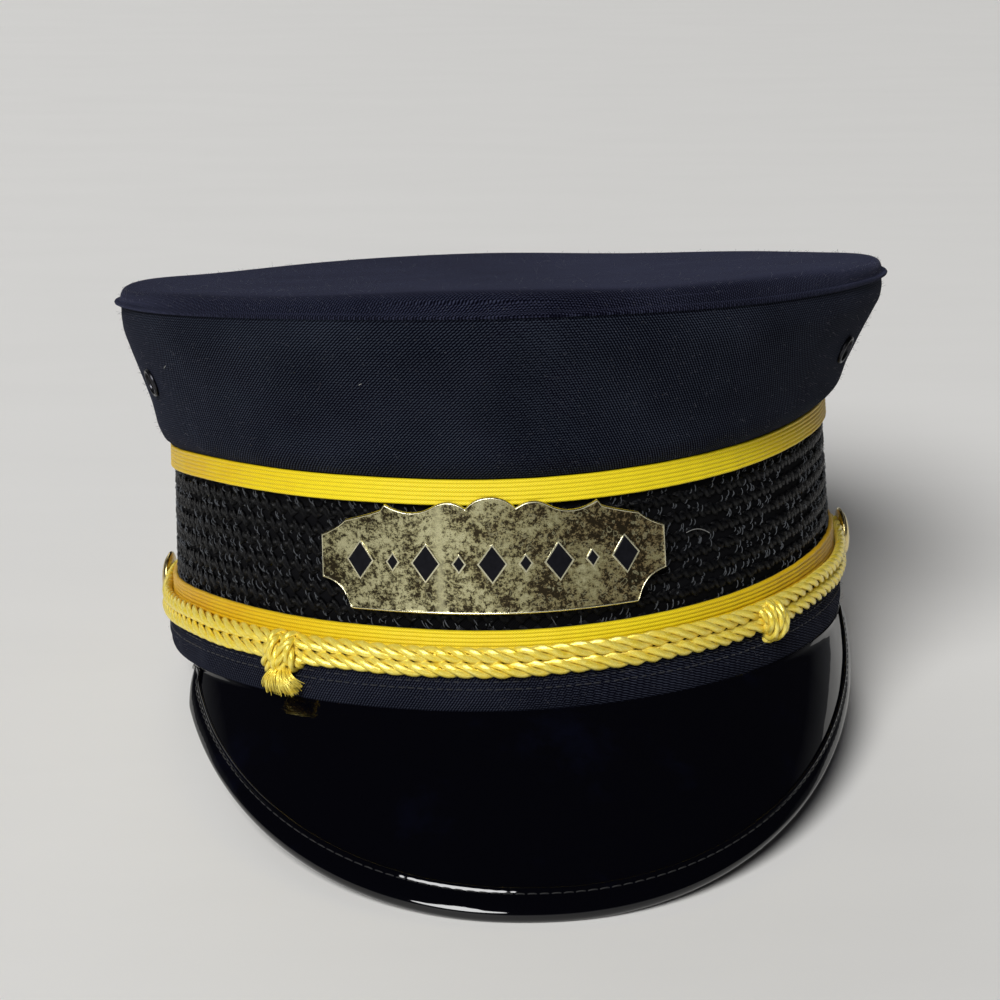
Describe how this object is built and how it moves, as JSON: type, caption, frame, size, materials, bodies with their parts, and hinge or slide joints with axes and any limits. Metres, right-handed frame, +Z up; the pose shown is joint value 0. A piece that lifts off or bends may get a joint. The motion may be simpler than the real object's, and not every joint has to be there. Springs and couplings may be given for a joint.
{
  "type": "conductor cap",
  "caption": "Soft-crowned uniform cap with a patent peak, woven band between flat braids, shaped brass plate and knotted chin cord, lying on its peak and back edge.",
  "frame": {"origin": "on the table, under the middle of the whole cap as it lies on its peak and the back of its band", "axes": "+Z up, the peak towards -Y, +X to the right when the cap is seen from the front"},
  "size_m": [0.2048, 0.273, 0.1288],
  "materials": {
    "navy_cloth": "matt navy wool twill",
    "black_mesh": "open woven black trim with shiny flecks",
    "yellow_braid": "flat corded yellow braid with a silky sheen",
    "yellow_cord": "twisted shiny yellow rayon cord",
    "patent": "mirror-gloss black patent leather",
    "plate_brass": "polished brass with mottled brown tarnish and black enamel lozenges",
    "button_brass": "polished brass",
    "vent_metal": "dark painted eyelet with bright wear"
  },
  "bodies": {
    "root": {"crown_top": "navy_cloth", "crown_side": "navy_cloth", "head_band": "navy_cloth", "mesh_band": "black_mesh", "upper_braid": "yellow_braid", "lower_braid": "yellow_braid", "chin_cord": "yellow_cord", "peak": "patent", "peak_binding": "patent", "nameplate": "plate_brass", "button_left": "button_brass", "button_right": "button_brass", "vent_left": "vent_metal", "vent_right": "vent_metal"}
  },
  "joints": []
}
